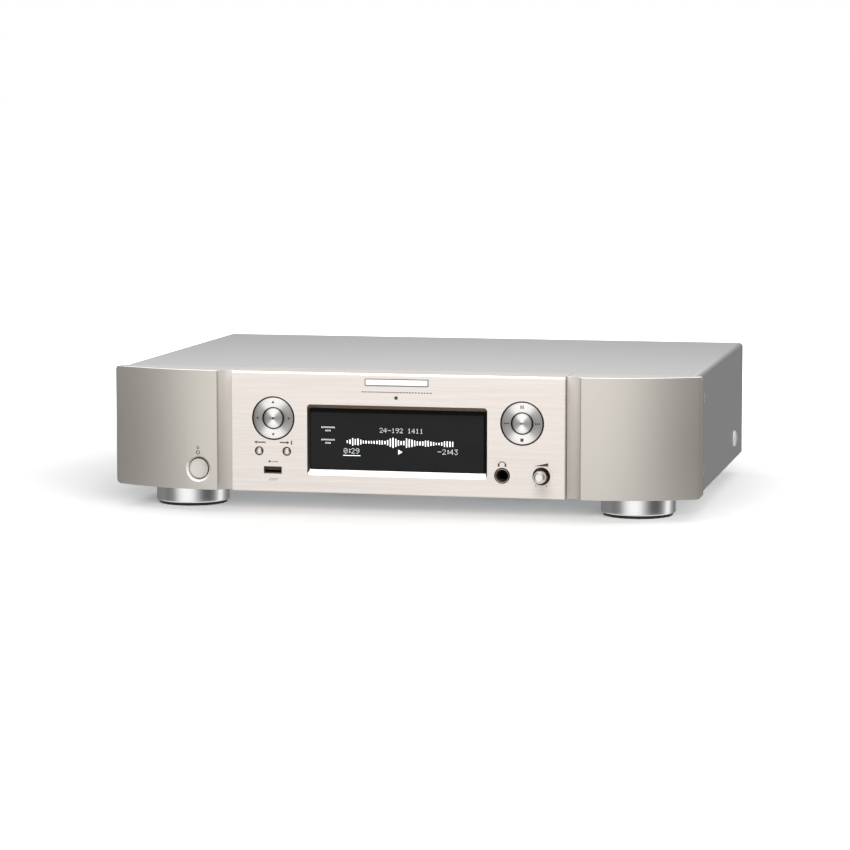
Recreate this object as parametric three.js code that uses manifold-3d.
// A slim full-width network audio player, in millimetres, +Z up, its front facing -Y.
//
// Pieces are placed in the enclosure's own coordinates: X runs right from the middle, Y runs back from
// the front plate's face, and Z runs up from the plate's bottom edge. The outer group moves that point
// so that the finished player stands on Z = 0 with the middle of its footprint at the origin.

import * as THREE from "three";
import { mergeVertices } from "three/addons/utils/BufferGeometryUtils.js";
import Module from "manifold-3d";

const wasm = await Module();
wasm.setup();

// ---------------------------------------------------------------- driving dimensions

const GAP = 0.3; // between pieces that touch on the real object

const OVERALL = { width: 440, depth: 341, height: 105 };
const KNOB_REACH = 10; // how far the level knob stands out of the front plate
const FACE_HEIGHT = 88.5; // the enclosure without its feet
const FOOT_DROP = OVERALL.height - FACE_HEIGHT;

const PLATE = { halfWidth: 123.7, wall: 8, flange: 3, topChamfer: 1.5, bottomChamfer: 0.8 };
const WING = {
  inner: PLATE.halfWidth + GAP,
  outer: OVERALL.width / 2,
  coveStart: 125,
  coveFloor: 7,
  coveRise: 0.3,
  lip: 134.9,
  arcStart: 135.5,
  sweepBack: 23.4,
  wall: 3,
  topCorner: 2.75,
  bottomCorner: 3.75,
};
const COVER = { halfWidth: 215, front: 32, back: 320, sheet: 1.3, bend: 3 };
const CHASSIS = { halfWidth: 213.4, sheet: 1.2, floorZ: 0.8, front: 34.6, back: 318, lip: 27 };
const REAR = { halfWidth: 212, front: 318.3, back: 319.7, bottom: 0.8, top: 86.8 };
const REAR_END = OVERALL.depth - KNOB_REACH; // tip of the antenna sockets

const FOOT = {
  x: 169.5,
  frontY: 53.5,
  backY: 285,
  top: -0.3,
  shoulder: -1.2,
  bottom: -14.3,
  neck: 25.8,
  radius: 27.4,
  bore: 25.8,
  screwHole: 2.6,
};
const PAD = { radius: 25.5, top: -12.8, hole: 6 };

const DISPLAY = {
  halfWidth: 67,
  bottom: 13,
  top: 65,
  corner: 2.5,
  innerHalfWidth: 65.5,
  innerBottom: 17,
  innerTop: 62.3,
  bevelDepth: 2.4,
  lensFront: 3.7,
  lensBack: 6.2,
};

const RING = { radius: 15.5, bore: 8, hole: 16.1, front: -0.5, back: 5.2, pusherAt: 14.4 };
const CARRIER = { radius: 12.4, bore: 9, front: 6.4, back: 8.4 };
const CENTRE_BUTTON = { radius: 7.4, front: -1.1, stem: 3, end: 11.2 };
const SMALL_BUTTON = { radius: 2.5, recess: 3.35, hole: 2.9, front: -0.9, stem: 1.4, end: 11.2 };
const NAV = { x: -92.5, z: 54.2 };
const TRANSPORT = { x: 92.6, z: 54.5 };
const BACK_BUTTON = { x: -103.3, z: 29.9 };
const INPUT_BUTTON = { x: -82.4, z: 30 };

const POWER = { x: -150.2, z: 15.5, radius: 7.4, hole: 7.9, front: 1.5, shank: 3, end: 17 };
const DISH = { radius: 9.8, depth: 3, boss: 11.9, bossFront: 2.4, bossBack: 8.5 };
const LED = { x: -150.2, z: 31, radius: 1 };
const USB = { x: -93, z: 16, width: 13.6, height: 5.3, back: 15.6 };
const PHONES = { x: 78, z: 16.3, bore: 3.4, ring: 5.5, hole: 5.8, back: 31 };
const LEVEL = {
  x: 106.8,
  z: 16.6,
  tip: 2.9,
  knob: 4.7,
  shoulder: 4,
  recess: 5.8,
  chamfer: 0.7,
  recessDepth: 5.4,
  back: 4.4,
  shaft: 3,
  end: 8.9,
};

const BOARD = { front: 16.2, sheet: 1.6, halfWidth: 119, bottom: 5, top: 83 };
const TACT = { half: 3, front: 13.2, nub: 1.7, nubFront: 12.2 };
const BRACKET = { front: 32.6, back: 33.8, halfWidth: 211.5, bottom: 3, top: 85 };
const DECK = { bottom: 12, sheet: 1.6, standoff: 3 }; // the circuit boards on the chassis floor

const SIDE_SCREW = { head: 6.6, rise: 2.4, shank: 1.8, hole: 2.3, length: 7, reach: 10 };
const SIDE_SCREW_PLACES = [
  { place: "front_upper", y: 53.5, z: 70 },
  { place: "front_lower", y: 53.5, z: 17 },
  { place: "rear", y: 264, z: 17 },
];

// Rear sockets, by the middle of each one on the rear panel.
const INLET = {
  x: -168,
  z: 34,
  halfWidth: 15,
  halfHeight: 11.5,
  cavityHalfWidth: 12.2,
  cavityHalfHeight: 8.2,
  cavityFront: 304,
  pinAt: 7,
};
const OUTPUT_JACKS = { x: 132, z: [30, 52] };
const COAX = { x: 92, z: 52 };
const OPTICAL = { x: 92, z: 30, half: 5.4, cavity: 3.4 };
const REMOTE = { x: 40, z: [30, 52] };
const ETHERNET = {
  x: -30,
  z: 32,
  halfWidth: 8,
  halfHeight: 6.8,
  cavityHalfWidth: 5.9,
  cavityHalfHeight: 4.1,
};
const ANTENNA = { x: 186, z: 70 };

// ---------------------------------------------------------------- materials

const finish = (color, roughness, metalness) =>
  new THREE.MeshStandardMaterial({ color, roughness, metalness });

const MATERIALS = {
  champagne: finish(0xeae2d8, 0.42, 0.75),
  satinWing: finish(0xc4beb4, 0.45, 0.75),
  coverPaint: finish(0xc2c3c3, 0.5, 0.6),
  steel: finish(0xb9bbbd, 0.45, 0.9),
  chrome: finish(0xe4e4e4, 0.12, 1),
  buttonMetal: finish(0xd9d4cc, 0.25, 0.95),
  rubber: finish(0x1a1a1a, 0.9, 0),
  smokedLens: finish(0x15151a, 0.08, 0),
  blackPlastic: finish(0x1c1c1d, 0.6, 0),
  circuitBoard: finish(0x1f4a2c, 0.6, 0),
  brass: finish(0xc8a24a, 0.3, 0.9),
  transformer: finish(0x3b3b3e, 0.6, 0.4),
  sleeve: finish(0x22304a, 0.5, 0),
  ribbon: finish(0xc9c9c4, 0.7, 0),
  ledLens: finish(0xd8d0c8, 0.3, 0),
};

// ---------------------------------------------------------------- shapes

// A closed three.js geometry as a solid that can be joined and cut.
function solid(geometry) {
  geometry.deleteAttribute("normal");
  geometry.deleteAttribute("uv");
  const merged = mergeVertices(geometry, 1e-4);
  return new wasm.Manifold(
    new wasm.Mesh({
      numProp: 3,
      vertProperties: new Float32Array(merged.attributes.position.array),
      triVerts: new Uint32Array(merged.index.array),
    }),
  );
}

// A solid as a geometry again.
function surface(body) {
  const mesh = body.getMesh();
  const positions = new Float32Array(mesh.numVert * 3);
  for (let i = 0; i < mesh.numVert; i++) {
    positions.set(mesh.vertProperties.subarray(i * mesh.numProp, i * mesh.numProp + 3), i * 3);
  }
  const geometry = new THREE.BufferGeometry();
  geometry.setAttribute("position", new THREE.BufferAttribute(positions, 3));
  geometry.setIndex(new THREE.BufferAttribute(mesh.triVerts, 1));
  geometry.computeVertexNormals();
  return geometry;
}

const joined = (...bodies) => bodies.reduce((a, b) => a.add(b));
const cut = (body, ...tools) => tools.reduce((a, b) => a.subtract(b), body);

// A box between two opposite corners.
function box([x0, y0, z0], [x1, y1, z1]) {
  const geometry = new THREE.BoxGeometry(x1 - x0, y1 - y0, z1 - z0);
  return solid(geometry.translate((x0 + x1) / 2, (y0 + y1) / 2, (z0 + z1) / 2));
}

// A lathe about the Y axis, facing out whichever way its outline runs. The outline is
// [radius, distance along the axis] pairs, and either starts and ends on the axis or closes on itself.
function lathe(profile, segments) {
  let area = 0;
  profile.forEach(([r, along], i) => {
    const [nextR, nextAlong] = profile[(i + 1) % profile.length];
    area += r * nextAlong - nextR * along;
  });
  const ordered = area < 0 ? [...profile].reverse() : profile;
  return new THREE.LatheGeometry(
    ordered.map(([r, along]) => new THREE.Vector2(r, along)),
    segments,
  );
}

// A body turned about a line through (x, z) that runs front to back.
function turned(profile, { x, z }, segments = 32) {
  return solid(lathe(profile, segments).translate(x, 0, z));
}

// A body turned about an upright line through (x, y).
function turnedUpright(profile, { x, y }, segments = 32) {
  return solid(lathe(profile, segments).rotateX(Math.PI / 2).translate(x, y, 0));
}

// A round bar that runs front to back.
function rod(radius, y0, y1, place, segments = 24) {
  return turned([[0, y0], [radius, y0], [radius, y1], [0, y1]], place, segments);
}

// A round bar that stands upright.
function post(radius, z0, z1, place, segments = 16) {
  return turnedUpright([[0, z0], [radius, z0], [radius, z1], [0, z1]], place, segments);
}

// A closed ring, or a pipe, from its inner and outer radius.
function ring(inner, outer, y0, y1, place, segments = 32) {
  return turned([[inner, y0], [outer, y0], [outer, y1], [inner, y1], [inner, y0]], place, segments);
}

// A plan outline, in X and Y, raised from z0 to z1.
function raised(shape, z0, z1, curveSegments = 12) {
  const options = { depth: z1 - z0, bevelEnabled: false, curveSegments };
  return solid(new THREE.ExtrudeGeometry(shape, options).translate(0, 0, z0));
}

// A front outline, in X and Z, run back from y0 to y1.
function runBack(shape, y0, y1, curveSegments = 4) {
  const options = { depth: y1 - y0, bevelEnabled: false, curveSegments };
  const geometry = new THREE.ExtrudeGeometry(shape, options);
  return solid(geometry.rotateX(Math.PI / 2).translate(0, y1, 0));
}

// A side outline, in Y and Z, run across from x0 to x1.
function runAcross(shape, x0, x1) {
  const geometry = new THREE.ExtrudeGeometry(shape, { depth: x1 - x0, bevelEnabled: false });
  const turn = new THREE.Matrix4().makeBasis(
    new THREE.Vector3(0, 1, 0),
    new THREE.Vector3(0, 0, 1),
    new THREE.Vector3(1, 0, 0),
  );
  return solid(geometry.applyMatrix4(turn).translate(x0, 0, 0));
}

// A straight-sided outline from a list of points.
const outline = (...points) => new THREE.Shape(points.map(([a, b]) => new THREE.Vector2(a, b)));

// A rectangle with its own radius at the two lower and the two upper corners.
function roundedRect(x0, x1, z0, z1, lower, upper = lower) {
  const shape = new THREE.Shape();
  shape.moveTo(x0 + lower, z0);
  shape.lineTo(x1 - lower, z0);
  shape.absarc(x1 - lower, z0 + lower, lower, -Math.PI / 2, 0);
  shape.absarc(x1 - upper, z1 - upper, upper, 0, Math.PI / 2);
  shape.absarc(x0 + upper, z1 - upper, upper, Math.PI / 2, Math.PI);
  shape.absarc(x0 + lower, z0 + lower, lower, Math.PI, Math.PI * 1.5);
  return shape;
}

// The body between two convex front outlines with the same number of points.
function between(frontShape, yFront, backShape, yBack) {
  const front = frontShape.getPoints(3);
  const back = backShape.getPoints(3);
  const count = front.length;
  const corners = [
    ...front.map((p) => [p.x, yFront, p.y]),
    ...back.map((p) => [p.x, yBack, p.y]),
  ];
  const faces = [];
  for (let i = 0; i < count; i++) {
    const next = (i + 1) % count;
    faces.push(i, count + i, next, next, count + i, count + next);
    faces.push(0, i, next, count, count + next, count + i);
  }
  const geometry = new THREE.BufferGeometry();
  geometry.setAttribute("position", new THREE.Float32BufferAttribute(corners.flat(), 3));
  geometry.setIndex(faces);
  return solid(geometry);
}

// ---------------------------------------------------------------- front panel

// The brushed centre plate: a channel with a thick face and thin top and bottom flanges.
function frontPlate() {
  const { wall, flange, topChamfer, bottomChamfer, halfWidth } = PLATE;
  const flangeEnd = COVER.front - GAP;
  const channel = runAcross(
    outline(
      [0, bottomChamfer],
      [bottomChamfer, 0],
      [flangeEnd, 0],
      [flangeEnd, flange],
      [wall, flange],
      [wall, FACE_HEIGHT - flange],
      [flangeEnd, FACE_HEIGHT - flange],
      [flangeEnd, FACE_HEIGHT],
      [topChamfer, FACE_HEIGHT],
      [0, FACE_HEIGHT - topChamfer],
    ),
    -halfWidth,
    halfWidth,
  );
  const d = DISPLAY;
  const mouth = roundedRect(-d.halfWidth, d.halfWidth, d.bottom, d.top, d.corner);
  const throat = roundedRect(-d.innerHalfWidth, d.innerHalfWidth, d.innerBottom, d.innerTop, 1);
  const bevel = between(mouth, 0, throat, d.bevelDepth);
  const mouthClearance = runBack(mouth, -1, 0, 3);
  const through = box([-d.innerHalfWidth, 1, d.innerBottom], [d.innerHalfWidth, wall + 1, d.innerTop]);
  const lensSeat = box(
    [-d.innerHalfWidth - 1.8, d.lensFront - GAP, d.innerBottom - 1.6],
    [d.innerHalfWidth + 1.8, wall + 1, d.innerTop + 1.6],
  );
  const ringHoles = [NAV, TRANSPORT].map((place) => rod(RING.hole, -1, wall + 1, place, 28));
  const smallHoles = [BACK_BUTTON, INPUT_BUTTON].flatMap((place) => [
    rod(SMALL_BUTTON.recess, -1, 0.8, place, 14),
    rod(SMALL_BUTTON.hole, -1, wall + 1, place, 14),
  ]);
  const usbSlot = box(
    [USB.x - USB.width / 2, -1, USB.z - USB.height / 2],
    [USB.x + USB.width / 2, wall + 1, USB.z + USB.height / 2],
  );
  const phonesHole = rod(PHONES.hole, -1, wall + 1, PHONES, 20);
  const levelRecess = turned(
    [
      [0, -1],
      [LEVEL.recess + LEVEL.chamfer + 1, -1],
      [LEVEL.recess, LEVEL.chamfer],
      [LEVEL.recess, LEVEL.recessDepth],
      [0, LEVEL.recessDepth],
    ],
    LEVEL,
    20,
  );
  const levelHole = rod(LEVEL.shaft + 0.6, -1, wall + 1, LEVEL, 14);
  return cut(
    channel,
    mouthClearance,
    bevel,
    through,
    lensSeat,
    ...ringHoles,
    ...smallHoles,
    usbSlot,
    phonesHole,
    levelRecess,
    levelHole,
  );
}

const wingRadius =
  ((WING.outer - WING.arcStart) ** 2 + WING.sweepBack ** 2) / (2 * WING.sweepBack);

// How far the wing's outer face has swept back at a distance from the middle.
const wingFace = (x, radius = wingRadius) =>
  wingRadius - Math.sqrt(radius ** 2 - Math.max(0, x - WING.arcStart) ** 2);

// The plan outline of a wing's face: a cove beside the plate, a sharp lip, then a long arc.
function wingPlan(side) {
  const shape = new THREE.Shape();
  shape.moveTo(side * WING.inner, COVER.front - GAP);
  shape.lineTo(side * WING.inner, WING.coveFloor);
  const across = WING.lip - WING.coveStart;
  const rise = WING.coveFloor - WING.coveRise;
  const coveRadius = (across ** 2 + rise ** 2) / (2 * rise);
  const coveSteps = 6;
  for (let i = 0; i <= coveSteps; i++) {
    const turn = (Math.asin(across / coveRadius) * i) / coveSteps;
    const x = WING.coveStart + coveRadius * Math.sin(turn);
    shape.lineTo(side * x, WING.coveFloor - coveRadius * (1 - Math.cos(turn)));
  }
  shape.lineTo(side * WING.arcStart, 0);
  const steps = 14;
  for (let i = 1; i <= steps; i++) {
    const x = WING.arcStart + ((WING.outer - WING.arcStart) * i) / steps;
    shape.lineTo(side * x, wingFace(x));
  }
  shape.lineTo(side * WING.outer, COVER.front - GAP);
  return shape;
}

// The hollow behind a wing's face, open to the back.
function wingHollow(side) {
  const points = [
    [WING.inner + WING.wall, COVER.front + 1],
    [WING.inner + WING.wall, WING.coveFloor + WING.wall],
    [WING.lip, WING.coveFloor + WING.wall],
  ];
  const start = WING.lip + WING.wall;
  const end = WING.outer - WING.wall;
  const steps = 8;
  for (let i = 0; i <= steps; i++) {
    const x = start + ((end - start) * i) / steps;
    points.push([x, wingFace(x, wingRadius - WING.wall)]);
  }
  points.push([end, COVER.front + 1]);
  return outline(...points.map(([x, y]) => [side * x, y]));
}

function wing(side) {
  const { outer, bottomCorner, topCorner } = WING;
  const corners = roundedRect(-outer, outer, 0, FACE_HEIGHT, bottomCorner, topCorner);
  const block = raised(wingPlan(side), 0, FACE_HEIGHT).intersect(runBack(corners, -1, COVER.front));
  return cut(block, raised(wingHollow(side), WING.wall, FACE_HEIGHT - WING.wall));
}

// The left wing, with a dished surround for the power button and a boss behind it.
function wingLeft() {
  const { boss, bossFront, bossBack, radius, depth } = DISH;
  const face = wingFace(-POWER.x);
  const lean = Math.asin((-POWER.x - WING.arcStart) / wingRadius);
  const dish = [
    [0, -2],
    [radius, -2],
    [radius, 0],
    [POWER.hole - 0.1, depth],
    [0, depth],
  ];
  const surround = solid(lathe(dish, 28).rotateZ(-lean).translate(POWER.x, face, POWER.z));
  const bore = rod(POWER.hole, -2, 12, POWER, 28);
  const ledHole = rod(LED.radius + GAP, -2, 12, LED, 8);
  return cut(joined(wing(-1), rod(boss, bossFront, bossBack, POWER, 28)), surround, bore, ledHole);
}

// ---------------------------------------------------------------- enclosure

// The painted steel lid: one sheet folded down at both sides.
function topCover() {
  const { halfWidth, front, back, sheet, bend } = COVER;
  const outer = roundedRect(-halfWidth, halfWidth, 0, FACE_HEIGHT, 0.001, bend);
  const inner = roundedRect(
    sheet - halfWidth,
    halfWidth - sheet,
    -10,
    FACE_HEIGHT - sheet,
    0.001,
    bend - sheet,
  );
  const shell = cut(runBack(outer, front, back, 5), runBack(inner, front - 1, back + 1, 5));
  return cut(shell, ...sideHoles());
}

// Cylinders across both side walls at the lid screws.
function sideHoles() {
  const { hole, reach } = SIDE_SCREW;
  return [-1, 1].flatMap((side) =>
    SIDE_SCREW_PLACES.map(({ y, z }) => {
      const bar = new THREE.CylinderGeometry(hole, hole, reach, 10);
      return solid(bar.rotateZ(Math.PI / 2).translate(side * COVER.halfWidth, y, z));
    }),
  );
}

// The folded steel tray, with side lips for the lid screws, board standoffs and cooling slots.
function baseChassis() {
  const { halfWidth, sheet, floorZ, front, back, lip } = CHASSIS;
  const floorTop = floorZ + sheet;
  const tray = [box([-halfWidth, front, floorZ], [halfWidth, back, floorTop])];
  tray.push(box([-halfWidth, front, floorZ], [halfWidth, front + sheet, 7]));
  for (const side of [-1, 1]) {
    const wallX = [side * halfWidth, side * (halfWidth - sheet)].sort((a, b) => a - b);
    tray.push(box([wallX[0], front, floorZ], [wallX[1], back, lip]));
    tray.push(box([wallX[0], 42, floorZ], [wallX[1], 66, 80]));
  }
  for (const x of [-200, -104, -69, -11, 2, 100, 202]) {
    for (const y of [226, 306]) {
      tray.push(post(DECK.standoff, floorZ, DECK.bottom - GAP, { x, y }, 8));
    }
  }
  const slots = [];
  for (const x of [-60, 60]) {
    for (let row = 0; row < 5; row++) {
      const y = 110 + row * 12;
      slots.push(box([x - 25, y, floorZ - 1], [x + 25, y + 4, floorTop + 1]));
    }
  }
  return cut(joined(...tray), ...slots, ...sideHoles());
}

// The sheet that carries every rear socket.
function rearPanel() {
  const { halfWidth, front, back, bottom, top } = REAR;
  const sheet = box([-halfWidth, front, bottom], [halfWidth, back, top]);
  const opening = (x, z, halfW, halfH) =>
    box([x - halfW, front - 1, z - halfH], [x + halfW, back + 1, z + halfH]);
  const round = (radius, place) => rod(radius, front - 1, back + 1, place, 14);
  return cut(
    sheet,
    opening(INLET.x, INLET.z, INLET.halfWidth - 1.7, INLET.halfHeight - 1.7),
    opening(ETHERNET.x, ETHERNET.z, ETHERNET.halfWidth + GAP, ETHERNET.halfHeight + GAP),
    opening(OPTICAL.x, OPTICAL.z, OPTICAL.half + GAP, OPTICAL.half + GAP),
    ...OUTPUT_JACKS.z.map((z) => round(5.2, { x: OUTPUT_JACKS.x, z })),
    ...REMOTE.z.map((z) => round(5.2, { x: REMOTE.x, z })),
    round(5.2, COAX),
    ...[-1, 1].map((side) => round(3.6, { x: side * ANTENNA.x, z: ANTENNA.z })),
  );
}

// The steel sheet behind the front panel that the panel and its circuit board are screwed to.
function frontBracket() {
  const { front, back, halfWidth, bottom, top } = BRACKET;
  const sheet = box([-halfWidth, front, bottom], [halfWidth, back, top]);
  const lighten = [
    [-110, -20, 25, 75],
    [20, 110, 25, 75],
    [22, 68, 6, 16],
  ];
  const tools = lighten.map(([x0, x1, z0, z1]) => box([x0, front - 1, z0], [x1, back + 1, z1]));
  return cut(sheet, ...tools);
}

// A turned cup on a short neck, hollow below for its pad, with a bore for its screw.
function foot(place) {
  const { neck, shoulder, radius, bottom, top, bore, screwHole } = FOOT;
  const profile = [
    [screwHole, top],
    [neck, top],
    [neck, shoulder],
    [radius, shoulder],
    [radius, bottom],
    [bore, bottom],
    [bore, PAD.top + GAP],
    [screwHole, PAD.top + GAP],
    [screwHole, top],
  ];
  return turnedUpright(profile, place, 28);
}

function footPad(place) {
  const { radius, top, hole } = PAD;
  const profile = [
    [hole, top],
    [radius, top],
    [radius, -FOOT_DROP],
    [hole, -FOOT_DROP],
    [hole, top],
  ];
  return turnedUpright(profile, place, 24);
}

// A domed lid screw, lying across the side wall.
function sideScrew(side, { y, z }) {
  const { head, rise, shank, length } = SIDE_SCREW;
  const seat = COVER.halfWidth + GAP;
  const profile = [
    [0, seat + rise],
    [head * 0.6, seat + rise],
    [head, seat + rise * 0.3],
    [head, seat],
    [shank, seat],
    [shank, seat - length],
    [0, seat - length],
  ];
  return solid(lathe(profile, 14).rotateZ((-side * Math.PI) / 2).translate(0, y, z));
}

// ---------------------------------------------------------------- controls

// A rocking ring: it presses one of four switches through a pusher behind each side.
function controlRing(place) {
  const { radius, bore, front, back, pusherAt } = RING;
  const profile = [
    [bore, front],
    [radius - 1, front],
    [radius, front + 0.8],
    [radius, back],
    [bore, back],
    [bore, front],
  ];
  const pushers = [[1, 0], [-1, 0], [0, 1], [0, -1]].map(([across, up]) =>
    rod(0.9, back - 0.5, 10.6, { x: place.x + across * pusherAt, z: place.z + up * pusherAt }, 6),
  );
  return joined(turned(profile, place, 28), ...pushers);
}

// The frame that a ring rocks on: the ring tilts sideways on it, and it tilts up and down.
function ringCarrier(place) {
  const { radius, bore, front, back } = CARRIER;
  const lugs = [1, -1].map((up) => {
    const z = place.z + up * (radius - 1.5);
    return box([place.x - 1, RING.back + GAP, z - 1], [place.x + 1, front + 0.5, z + 1]);
  });
  return joined(ring(bore, radius, front, back, place, 20), ...lugs);
}

// A domed push button with a stem behind it.
function pushButton(place, { radius, front, stem, end }, segments) {
  const cap = front + 4.6;
  const profile = [
    [0, front],
    [radius * 0.7, front + 0.2],
    [radius, front + 1],
    [radius, cap],
    [stem, cap],
    [stem, end],
    [0, end],
  ];
  return turned(profile, place, segments);
}

function powerButton() {
  const { radius, front, shank, end } = POWER;
  const capBack = front + 7;
  const profile = [
    [0, front + 0.4],
    [radius - 0.7, front],
    [radius, front + 0.6],
    [radius, capBack],
    [shank, capBack],
    [shank, end],
    [0, end],
  ];
  return turned(profile, POWER, 24);
}

// The mains switch behind the power button.
function powerSwitch() {
  const body = box([POWER.x - 9, 21.5, POWER.z - 7.5], [POWER.x + 9, 31.4, POWER.z + 7.5]);
  const sleeve = ring(3.6, 5.2, 17.5, 22, POWER, 14);
  return cut(joined(body, sleeve), rod(3.6, 17, 24, POWER, 14));
}

// A turned knob with a rounded shoulder, and a fine pointer line cut along its top.
function levelKnob() {
  const { x, z, tip, knob, shoulder, back, shaft, end } = LEVEL;
  const front = -KNOB_REACH;
  const profile = [
    [0, front],
    [tip, front],
    [tip + 0.9, front + shoulder * 0.25],
    [knob - 0.3, front + shoulder * 0.6],
    [knob, front + shoulder],
    [knob, back],
    [shaft, back],
    [shaft, end],
    [0, end],
  ];
  const pointer = box([x - 0.2, front - 1, z + knob - 0.3], [x + 0.2, -1, z + knob + 1]);
  return cut(turned(profile, LEVEL, 24), pointer);
}

// The volume control behind the knob, with the mouth of its bushing open to the shaft.
function levelPot() {
  const { x, z } = LEVEL;
  const body = box([x - 5.5, 9.4, z - 6], [x + 5.5, BOARD.front - GAP, z + 6]);
  return joined(body, ring(LEVEL.shaft + GAP, LEVEL.shaft + 1.6, 8.3, 9.6, LEVEL, 14));
}

// ---------------------------------------------------------------- front sockets and display

function displayWindow() {
  const { innerHalfWidth, innerBottom, innerTop, lensFront, lensBack } = DISPLAY;
  const halfWidth = innerHalfWidth + 1.5;
  const sheet = roundedRect(-halfWidth, halfWidth, innerBottom - 1.3, innerTop + 1.3, 1);
  return runBack(sheet, lensFront, lensBack, 2);
}

function displayModule() {
  const glass = box([-60, 6.6, 19], [60, 10.4, 60]);
  const holder = box([-62.5, 8.2, 17.5], [62.5, BOARD.front - GAP, 61.5]);
  return joined(glass, holder);
}

function standbyLed() {
  const lens = rod(LED.radius, wingFace(-LED.x) + 0.1, 20, LED, 12);
  return joined(lens, rod(2.4, 18, 24, LED, 12));
}

function usbSocket() {
  const { x, z, back } = USB;
  const halfW = USB.width / 2 - GAP;
  const halfH = USB.height / 2 - GAP;
  const shell = box([x - halfW, 0.5, z - halfH], [x + halfW, back, z + halfH]);
  const wall = 0.4;
  const mouth = box(
    [x - halfW + wall, -1, z - halfH + wall],
    [x + halfW - wall, 12, z + halfH - wall],
  );
  const tongue = box([x - halfW + 1, 1.4, z + 0.2], [x + halfW - 1, 12.5, z + 1.5]);
  const flange = cut(
    box([x - halfW - 2, 8.3, z - halfH - 2], [x + halfW + 2, back, z + halfH + 2]),
    mouth,
  );
  return joined(cut(shell, mouth), flange, tongue);
}

function phonesJack() {
  const { x, z, bore, back } = PHONES;
  const body = box([x - 8, 8.6, z - 8.5], [x + 8, back, z + 8.5]);
  const collar = rod(4.9, 1.2, 9, PHONES, 20);
  return cut(joined(body, collar), rod(bore, 0, back - 2, PHONES, 20));
}

// The bright threaded collar that fixes the jack to the plate.
function phonesJackRing() {
  const profile = [
    [3.9, 0.9],
    [3.9, 0.1],
    [4.9, -0.6],
    [PHONES.ring, -0.2],
    [PHONES.ring, 7.8],
    [5.2, 7.8],
    [5.2, 0.9],
    [3.9, 0.9],
  ];
  return turned(profile, PHONES, 20);
}

// The board behind the front plate, with a switch behind each button and under each side of each ring.
function frontBoard() {
  const { front, sheet, halfWidth, bottom, top } = BOARD;
  const back = front + sheet;
  const board = box([-halfWidth, front, bottom], [halfWidth, back, top]);
  const jackNotch = box(
    [PHONES.x - 8.5, front - 1, bottom - 1],
    [PHONES.x + 8.5, back + 1, PHONES.z + 9],
  );
  const switchPlaces = [NAV, TRANSPORT, BACK_BUTTON, INPUT_BUTTON];
  for (const place of [NAV, TRANSPORT]) {
    for (const [across, up] of [[1, 0], [-1, 0], [0, 1], [0, -1]]) {
      switchPlaces.push({ x: place.x + across * RING.pusherAt, z: place.z + up * RING.pusherAt });
    }
  }
  const switches = switchPlaces.flatMap((place) => [
    box(
      [place.x - TACT.half, TACT.front, place.z - TACT.half],
      [place.x + TACT.half, front + 0.4, place.z + TACT.half],
    ),
    rod(TACT.nub, TACT.nubFront, TACT.front + 0.4, place, 6),
  ]);
  const cableHeader = box([30, back - 0.4, 7], [60, back + 5, 13]);
  return joined(cut(board, jackNotch), ...switches, cableHeader);
}

// ---------------------------------------------------------------- inside

// Circuit boards on the chassis floor, each with its larger parts on it.
function deckBoard([x0, y0], [x1, y1], parts) {
  const top = DECK.bottom + DECK.sheet;
  const sheet = box([x0, y0, DECK.bottom], [x1, y1, top]);
  const blocks = parts.map(([cx, cy, halfX, halfY, height]) =>
    box([cx - halfX, cy - halfY, top - 0.4], [cx + halfX, cy + halfY, top + height]),
  );
  return joined(sheet, ...blocks);
}

const mainBoard = () =>
  deckBoard([-4, 205], [208, 312], [
    [45, 214, 15, 4, 6],
    [70, 250, 12, 12, 2.4],
    [120, 245, 9, 9, 2.4],
    [160, 240, 5, 14, 9],
    [180, 240, 5, 14, 9],
    [30, 270, 8, 5, 5],
  ]);

const powerBoard = () =>
  deckBoard([-208, 205], [-96, 312], [
    [-186, 240, 9, 13, 14],
    [-150, 225, 6, 6, 10],
    [-168, 290, 12, 5, 8],
  ]);

const networkModule = () =>
  deckBoard([-76, 215], [-6, 312], [
    [-50, 250, 17, 15, 4],
    [-18, 240, 6, 12, 3],
  ]);

function transformer() {
  const core = box([-178, 88, CHASSIS.floorZ + CHASSIS.sheet + GAP], [-108, 148, 60]);
  const winding = box([-166, 78, 12], [-120, 158, 52]);
  const straps = [-1, 1].map((side) => {
    const x = -143 + side * 40;
    return box([x - 8, 108, CHASSIS.floorZ + CHASSIS.sheet + GAP], [x + 8, 128, 6]);
  });
  return joined(core, winding, ...straps);
}

const capacitor = (place) => {
  const base = DECK.bottom + DECK.sheet + GAP;
  return turnedUpright([[0, base], [10, base], [10, base + 40], [0, base + 40]], place, 16);
};

function heatsink() {
  const base = DECK.bottom + DECK.sheet + GAP;
  const fins = [0, 1, 2, 3, 4, 5].map((i) =>
    box([-112, 232 + i * 9, base], [-99, 235 + i * 9, base + 46]),
  );
  return joined(box([-115, 230, base], [-111.5, 282, base + 46]), ...fins);
}

// The flat cable from the front board to the main board: a thin strip that dips to the chassis floor.
function ribbonCable() {
  const thickness = 0.8;
  const middle = new THREE.CatmullRomCurve3([
    new THREE.Vector3(0, BOARD.front + BOARD.sheet + 5.4, 10),
    new THREE.Vector3(0, 45, 10),
    new THREE.Vector3(0, 70, 6),
    new THREE.Vector3(0, 160, 6),
    new THREE.Vector3(0, 196, 12),
    new THREE.Vector3(0, 209.4, 16.5),
  ]).getPoints(18);
  const strip = outline(
    ...middle.map((p) => [p.y, p.z]),
    ...middle.reverse().map((p) => [p.y, p.z + thickness]),
  );
  return runAcross(strip, 33, 57);
}

// ---------------------------------------------------------------- rear sockets

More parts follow.
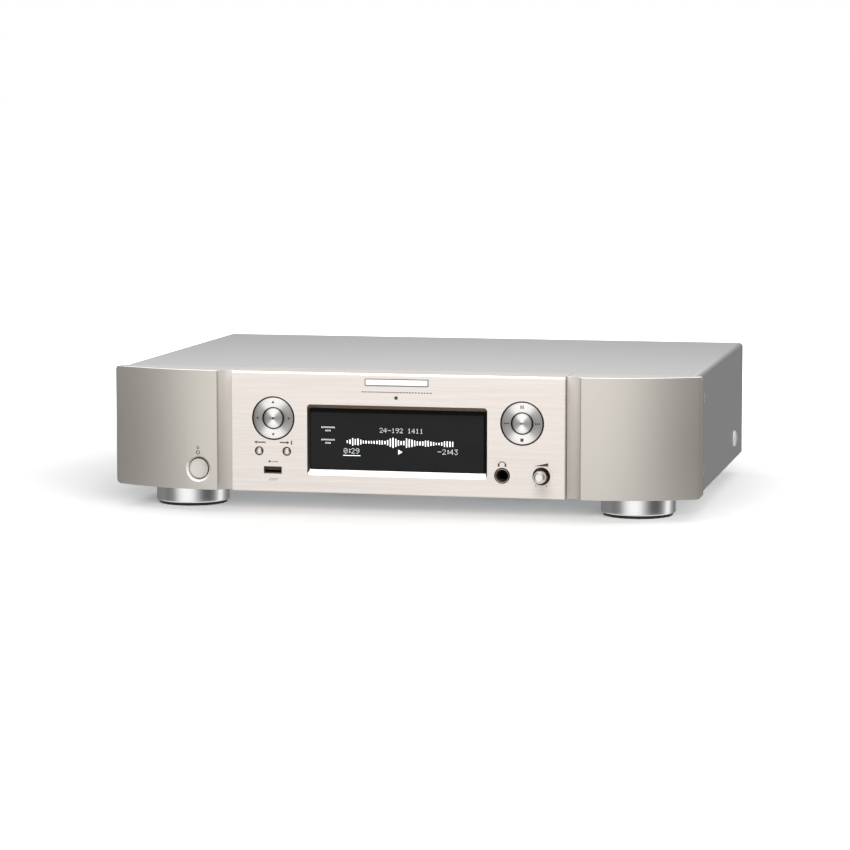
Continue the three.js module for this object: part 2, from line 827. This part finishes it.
// The mains inlet: a flanged box with two flat pins inside its mouth.
function mainsInlet() {
  const { x, z, halfWidth, halfHeight, cavityHalfWidth, cavityHalfHeight, cavityFront, pinAt } = INLET;
  const front = REAR.back + GAP;
  const flange = box(
    [x - halfWidth - 3, front, z - halfHeight - 1],
    [x + halfWidth + 3, front + 2.4, z + halfHeight + 1],
  );
  const body = box(
    [x - halfWidth + 2, cavityFront - 4, z - halfHeight + 2],
    [x + halfWidth - 2, front + 1, z + halfHeight - 2],
  );
  const cavity = box(
    [x - cavityHalfWidth, cavityFront, z - cavityHalfHeight],
    [x + cavityHalfWidth, front + 5, z + cavityHalfHeight],
  );
  const pins = [-1, 1].map((side) => {
    const middle = x + side * pinAt;
    return box([middle - 1, cavityFront - 1, z - 2], [middle + 1, front + 0.5, z + 2]);
  });
  return joined(cut(joined(flange, body), cavity), ...pins);
}

// A phono socket: a barrel through the panel, with a ring-shaped mouth and a bore for the plug's pin.
function phonoBarrel(place) {
  const tip = REAR.back + 9.6;
  const seat = REAR.back + 0.6;
  const barrel = turned(
    [
      [0, 306],
      [4.6, 306],
      [4.6, seat],
      [4.15, seat],
      [4.15, tip],
      [0, tip],
    ],
    place,
    16,
  );
  const mouth = ring(2.2, 3.4, seat + 0.8, tip + 1, place, 14);
  const pinBore = rod(1.3, REAR.back, tip + 1, place, 8);
  return cut(barrel, mouth, pinBore);
}

const JACK_BLOCK = { halfWidth: 7, front: 299, back: REAR.front - GAP, above: 7 };

function stackedPhonos({ x, z }) {
  const { halfWidth, front, back, above } = JACK_BLOCK;
  const bottom = DECK.bottom + DECK.sheet + GAP;
  const block = box([x - halfWidth, front, bottom], [x + halfWidth, back, Math.max(...z) + above]);
  return joined(block, ...z.map((height) => phonoBarrel({ x, z: height })));
}

function coaxJack() {
  const { x, z } = COAX;
  const { halfWidth, front, back, above } = JACK_BLOCK;
  const block = box([x - halfWidth, front, z - 8], [x + halfWidth, back, z + above]);
  return joined(block, phonoBarrel(COAX));
}

function opticalSocket() {
  const { x, z, half, cavity } = OPTICAL;
  const bottom = DECK.bottom + DECK.sheet + GAP;
  const body = box([x - half, 300, bottom], [x + half, REAR.front - GAP, z + half]);
  const nose = box([x - half, REAR.front - 1, z - half], [x + half, REAR.back + 2.4, z + half]);
  const mouth = box([x - cavity, 306, z - cavity], [x + cavity, REAR.back + 4, z + cavity]);
  return cut(joined(body, nose), mouth);
}

// The dust flap in the mouth of the optical socket, hung from its top edge.
function opticalShutter() {
  const { x, z, cavity } = OPTICAL;
  const y = REAR.back + 1.2;
  const half = cavity - GAP;
  return box([x - half, y - 0.35, z - half], [x + half, y + 0.35, z + half]);
}

function ethernetJack() {
  const { x, z, halfWidth, halfHeight, cavityHalfWidth, cavityHalfHeight } = ETHERNET;
  const base = DECK.bottom + DECK.sheet + GAP;
  const body = box([x - halfWidth, 302, base], [x + halfWidth, REAR.front - GAP, z + halfHeight]);
  const nose = box(
    [x - halfWidth, REAR.front - 1, z - halfHeight],
    [x + halfWidth, REAR.back + 1, z + halfHeight],
  );
  const cavity = box(
    [x - cavityHalfWidth, 306, z - cavityHalfHeight],
    [x + cavityHalfWidth, REAR.back + 3, z + cavityHalfHeight],
  );
  const latch = box(
    [x - 3.2, 310, z + cavityHalfHeight - 1],
    [x + 3.2, REAR.back + 3, z + cavityHalfHeight + 1.6],
  );
  return cut(joined(body, nose), cavity, latch);
}

// A threaded antenna socket with its hexagonal nut.
function antennaSocket(place) {
  const barrel = turned(
    [[0, 309], [3.1, 309], [3.1, REAR_END], [0, REAR_END]],
    place,
    16,
  );
  const nut = ring(2.9, 4.6, REAR.back + GAP, REAR.back + 2.8, place, 6);
  const shoulder = rod(4.4, 312, REAR.front - GAP, place, 12);
  return cut(joined(barrel, nut, shoulder), ring(0.7, 2.1, REAR_END - 6, REAR_END + 1, place, 10));
}

// ---------------------------------------------------------------- assembly

const enclosure = new THREE.Group();
enclosure.position.set(0, KNOB_REACH - OVERALL.depth / 2, FOOT_DROP);

function place(name, body, material) {
  const mesh = new THREE.Mesh(surface(body), material);
  mesh.name = name;
  enclosure.add(mesh);
}

const M = MATERIALS;

place("front_plate", frontPlate(), M.champagne);
place("wing_left", wingLeft(), M.satinWing);
place("wing_right", wing(1), M.satinWing);
place("front_bracket", frontBracket(), M.steel);
place("top_cover", topCover(), M.coverPaint);
place("base_chassis", baseChassis(), M.steel);
place("rear_panel", rearPanel(), M.steel);

const corners = [
  ["front_left", -FOOT.x, FOOT.frontY],
  ["front_right", FOOT.x, FOOT.frontY],
  ["rear_left", -FOOT.x, FOOT.backY],
  ["rear_right", FOOT.x, FOOT.backY],
];
for (const [corner, x, y] of corners) {
  place("foot_" + corner, foot({ x, y }), M.chrome);
  place("foot_pad_" + corner, footPad({ x, y }), M.rubber);
}

for (const [hand, side] of [["left", -1], ["right", 1]]) {
  for (const screw of SIDE_SCREW_PLACES) {
    place("side_screw_" + hand + "_" + screw.place, sideScrew(side, screw), M.chrome);
  }
}

place("display_window", displayWindow(), M.smokedLens);
place("display_module", displayModule(), M.blackPlastic);
place("front_board", frontBoard(), M.circuitBoard);

place("nav_ring", controlRing(NAV), M.buttonMetal);
place("nav_ring_carrier", ringCarrier(NAV), M.blackPlastic);
place("enter_button", pushButton(NAV, CENTRE_BUTTON, 32), M.buttonMetal);
place("transport_ring", controlRing(TRANSPORT), M.buttonMetal);
place("transport_ring_carrier", ringCarrier(TRANSPORT), M.blackPlastic);
place("play_button", pushButton(TRANSPORT, CENTRE_BUTTON, 32), M.buttonMetal);
place("back_button", pushButton(BACK_BUTTON, SMALL_BUTTON, 20), M.buttonMetal);
place("input_button", pushButton(INPUT_BUTTON, SMALL_BUTTON, 20), M.buttonMetal);
place("power_button", powerButton(), M.buttonMetal);
place("power_switch", powerSwitch(), M.blackPlastic);
place("standby_led", standbyLed(), M.ledLens);
place("usb_socket", usbSocket(), M.steel);
place("phones_jack", phonesJack(), M.blackPlastic);
place("phones_jack_ring", phonesJackRing(), M.chrome);
place("level_knob", levelKnob(), M.buttonMetal);
place("level_pot", levelPot(), M.steel);

place("main_board", mainBoard(), M.circuitBoard);
place("power_board", powerBoard(), M.circuitBoard);
place("network_module", networkModule(), M.circuitBoard);
place("transformer", transformer(), M.transformer);
place("capacitor_1", capacitor({ x: -135, y: 250 }), M.sleeve);
place("capacitor_2", capacitor({ x: -135, y: 275 }), M.sleeve);
place("heatsink", heatsink(), M.steel);
place("ribbon_cable", ribbonCable(), M.ribbon);

place("mains_inlet", mainsInlet(), M.blackPlastic);
place("audio_output_jacks", stackedPhonos(OUTPUT_JACKS), M.brass);
place("remote_jacks", stackedPhonos(REMOTE), M.blackPlastic);
place("coaxial_jack", coaxJack(), M.brass);
place("optical_socket", opticalSocket(), M.blackPlastic);
place("optical_shutter", opticalShutter(), M.blackPlastic);
place("ethernet_jack", ethernetJack(), M.steel);
place("antenna_socket_left", antennaSocket({ x: -ANTENNA.x, z: ANTENNA.z }), M.brass);
place("antenna_socket_right", antennaSocket({ x: ANTENNA.x, z: ANTENNA.z }), M.brass);

const player = new THREE.Group();
player.add(enclosure);

export default player;
